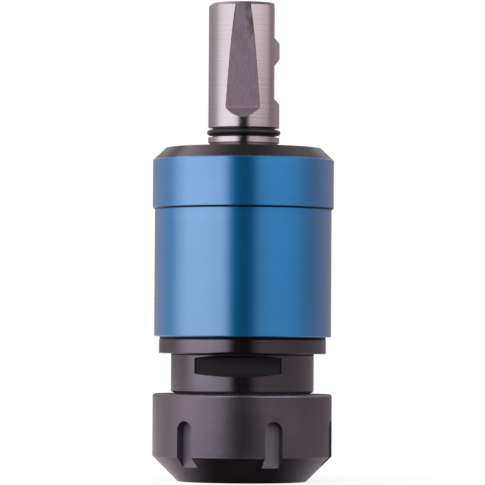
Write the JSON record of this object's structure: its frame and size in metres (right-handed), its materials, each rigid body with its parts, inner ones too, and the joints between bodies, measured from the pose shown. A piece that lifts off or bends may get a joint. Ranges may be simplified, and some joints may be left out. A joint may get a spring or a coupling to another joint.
{
  "type": "tapping head",
  "caption": "Floating tapping head: clamping shank with side flats, housing with a slotted spring, ball driven spindle, collet and clamping nut.",
  "frame": {"origin": "centre of the clamping nut's front face, where the head stands", "axes": "+Z along the spindle axis towards the free end of the shank, -Y towards the sloping notch, +X towards the side lock flats"},
  "size_m": [0.0636, 0.0636, 0.168],
  "materials": {
    "ground_steel_shank": "satin",
    "blue_anodised": "satin",
    "black_oxide": "satin",
    "seal_rubber": "matte",
    "spring_steel": "satin",
    "ball_steel": "polished",
    "bronze": "satin",
    "stainless": "satin",
    "hardened_steel": "satin"
  },
  "bodies": {
    "housing": {"shank_body": "ground_steel_shank", "shank_seal": "seal_rubber", "collar_ring": "blue_anodised", "housing_sleeve": "blue_anodised", "wiper_seal": "seal_rubber", "guide_bush": "bronze", "slotted_spring": "spring_steel", "drive_balls": "ball_steel", "ball_cage": "bronze", "coolant_tube": "stainless"},
    "spindle": {"collet_spindle": "black_oxide", "tube_seal": "seal_rubber", "stop_ring": "spring_steel", "spring_screws": "black_oxide", "dust_ring": "seal_rubber"},
    "collet_stack": {"collet": "hardened_steel", "thrust_ring": "hardened_steel"},
    "nut": {"clamping_nut": "black_oxide", "retaining_wire": "spring_steel", "sealing_disc": "stainless", "disc_inner_seal": "seal_rubber", "disc_outer_seal": "seal_rubber"}
  },
  "joints": [
    {"name": "axial_float", "type": "slide", "parent": "housing", "child": "spindle", "axis": [0, 0, -1], "range_m": [-0.0005, 0.0005], "stiffness_N_per_m": 150000, "deforming": ["slotted_spring"]},
    {"name": "collet_travel", "type": "slide", "parent": "spindle", "child": "collet_stack", "axis": [0, 0, -1], "range_m": [0, 0.015]},
    {"name": "nut_turn", "type": "hinge", "parent": "collet_stack", "child": "nut", "pos_m": [0, 0, 0.015], "axis": [0, 0, -1], "range_deg": [0, 3600]}
  ],
  "couplings": [
    {"joint": "collet_travel", "follows": "nut_turn", "m_per_rad": 0.00023873}
  ]
}
